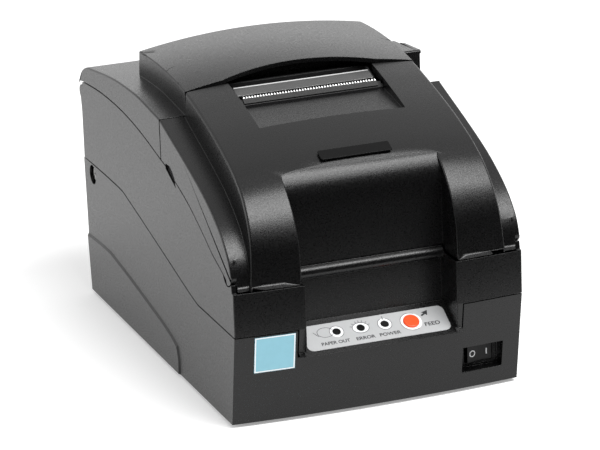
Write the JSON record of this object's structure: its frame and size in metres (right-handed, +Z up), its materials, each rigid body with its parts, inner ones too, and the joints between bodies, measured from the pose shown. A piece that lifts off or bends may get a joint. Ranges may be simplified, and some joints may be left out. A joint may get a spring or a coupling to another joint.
{
  "type": "dot matrix receipt printer",
  "caption": "Desktop impact receipt printer in textured black plastic with hinged front and rear covers, paper window with tear bar, sloping control panel and power switch.",
  "frame": {"origin": "centre of the box's bottom face, under the middle of the printer", "axes": "+X to the printer's right as seen from the front, the front face looks along -Y, +Z up"},
  "size_m": [0.16, 0.2502, 0.1615],
  "materials": {
    "case_plastic": "satin",
    "dark_plastic": "satin",
    "rubber": "matte",
    "zinc_screw": "satin",
    "label_silver": "satin",
    "lens": "gloss",
    "button_orange": "gloss",
    "board": "satin",
    "black_gloss": "gloss",
    "sticker_blue": "satin",
    "steel_sheet": "satin",
    "bright_steel": "polished",
    "white_gear": "satin",
    "brass": "satin",
    "motor_can": "satin",
    "cast_alloy": "satin",
    "ribbon_ink": "matte"
  },
  "bodies": {
    "base": {"lower_case": "case_plastic", "upper_case": "case_plastic", "rubber_feet": "rubber", "case_screws": "zinc_screw", "side_screws": "zinc_screw", "control_label": "label_silver", "led_lenses": "lens", "panel_board": "board", "switch_body": "dark_plastic", "warranty_label": "sticker_blue", "side_plates": "steel_sheet", "frame_floor_plate": "steel_sheet", "tear_bar": "bright_steel", "tear_bar_carrier": "dark_plastic", "idler_axle": "bright_steel", "feed_motor": "motor_can", "guide_shaft": "bright_steel", "front_rail": "steel_sheet", "drive_belt": "rubber", "carriage_motor": "motor_can", "drive_plate": "steel_sheet", "ribbon_cassette": "dark_plastic", "ink_ribbon": "ribbon_ink", "roll_bucket": "dark_plastic", "lower_guide": "dark_plastic", "rear_hinge_pin": "bright_steel", "front_hinge_pins": "bright_steel", "latch_studs": "bright_steel", "main_board": "board", "board_parts": "dark_plastic", "rear_connectors": "black_gloss", "rear_plate": "steel_sheet"},
    "front_cover": {"front_cover": "case_plastic", "nameplate": "black_gloss"},
    "rear_cover": {"rear_cover": "case_plastic", "guide_plate": "bright_steel", "platen": "steel_sheet", "platen_holder": "dark_plastic"},
    "release_lever": {"release_lever": "case_plastic", "latch_shaft": "bright_steel", "latch_hooks": "dark_plastic"},
    "pinch_rollers": {"pinch_rollers": "rubber"},
    "feed_button": {"feed_button": "button_orange"},
    "power_rocker": {"power_rocker": "black_gloss"},
    "carriage": {"carriage": "dark_plastic", "carriage_bushes": "brass", "print_head": "dark_plastic", "head_heatsink": "cast_alloy"},
    "drive_pulley": {"drive_pulley": "white_gear"},
    "idler_pulley": {"idler_pulley": "white_gear"},
    "feed_roller": {"feed_roller": "bright_steel", "feed_rubbers": "rubber", "feed_gear": "white_gear"},
    "idler_gear": {"idler_gear": "white_gear"},
    "motor_pinion": {"motor_pinion": "brass"},
    "ribbon_drive": {"ribbon_knob": "dark_plastic"},
    "near_end_lever": {"near_end_lever": "white_gear"}
  },
  "joints": [
    {"name": "front_cover_hinge", "type": "hinge", "parent": "base", "child": "front_cover", "pos_m": [0, -0.1145, 0.084], "axis": [1, 0, 0], "range_deg": [0, 85]},
    {"name": "rear_cover_hinge", "type": "hinge", "parent": "base", "child": "rear_cover", "pos_m": [0, 0.1212, 0.1173], "axis": [-1, 0, 0], "range_deg": [0, 85]},
    {"name": "release_lever_hinge", "type": "hinge", "parent": "rear_cover", "child": "release_lever", "pos_m": [0.07, 0.034, 0.133], "axis": [-1, 0, 0], "range_deg": [0, 18], "stiffness_Nm_per_rad": 0.05},
    {"name": "pinch_roller_spin", "type": "hinge", "parent": "rear_cover", "child": "pinch_rollers", "pos_m": [0, -0.0219, 0.135], "axis": [1, 0, 0], "continuous": true},
    {"name": "feed_button_press", "type": "slide", "parent": "base", "child": "feed_button", "axis": [0, 0.4985, -0.8669], "range_m": [0, 0.0008], "stiffness_N_per_m": 600},
    {"name": "power_rocker_tilt", "type": "hinge", "parent": "base", "child": "power_rocker", "pos_m": [0.0588, -0.1089, 0.0186], "axis": [0, 0, 1], "range_deg": [-14, 0]},
    {"name": "carriage_slide", "type": "slide", "parent": "base", "child": "carriage", "axis": [1, 0, 0], "range_m": [-0.03, 0.03]},
    {"name": "drive_pulley_spin", "type": "hinge", "parent": "base", "child": "drive_pulley", "pos_m": [-0.041, -0.068, 0.071], "axis": [0, 0, -1], "range_deg": [-275, 275]},
    {"name": "idler_pulley_spin", "type": "hinge", "parent": "base", "child": "idler_pulley", "pos_m": [0.041, -0.068, 0.071], "axis": [0, 0, -1], "range_deg": [-275, 275]},
    {"name": "feed_roller_spin", "type": "hinge", "parent": "base", "child": "feed_roller", "pos_m": [0, -0.0318, 0.135], "axis": [1, 0, 0], "continuous": true},
    {"name": "idler_gear_spin", "type": "hinge", "parent": "base", "child": "idler_gear", "pos_m": [0.0587, -0.0174, 0.11006], "axis": [1, 0, 0], "continuous": true},
    {"name": "motor_pinion_spin", "type": "hinge", "parent": "base", "child": "motor_pinion", "pos_m": [0.0587, -0.01524, 0.08535], "axis": [1, 0, 0], "continuous": true},
    {"name": "ribbon_drive_spin", "type": "hinge", "parent": "base", "child": "ribbon_drive", "pos_m": [-0.03, -0.086, 0.124], "axis": [0, 0, 1], "continuous": true},
    {"name": "near_end_lever_pivot", "type": "hinge", "parent": "base", "child": "near_end_lever", "pos_m": [-0.0455, 0.053, 0.084], "axis": [0, 0, -1], "range_deg": [0, 6], "stiffness_Nm_per_rad": 0.002}
  ],
  "couplings": [
    {"joint": "idler_gear_spin", "follows": "feed_roller_spin", "ratio": -0.5},
    {"joint": "motor_pinion_spin", "follows": "feed_roller_spin", "ratio": 1.7143},
    {"joint": "drive_pulley_spin", "follows": "carriage_slide", "rad_per_m": 153.85},
    {"joint": "idler_pulley_spin", "follows": "carriage_slide", "rad_per_m": 153.85}
  ]
}
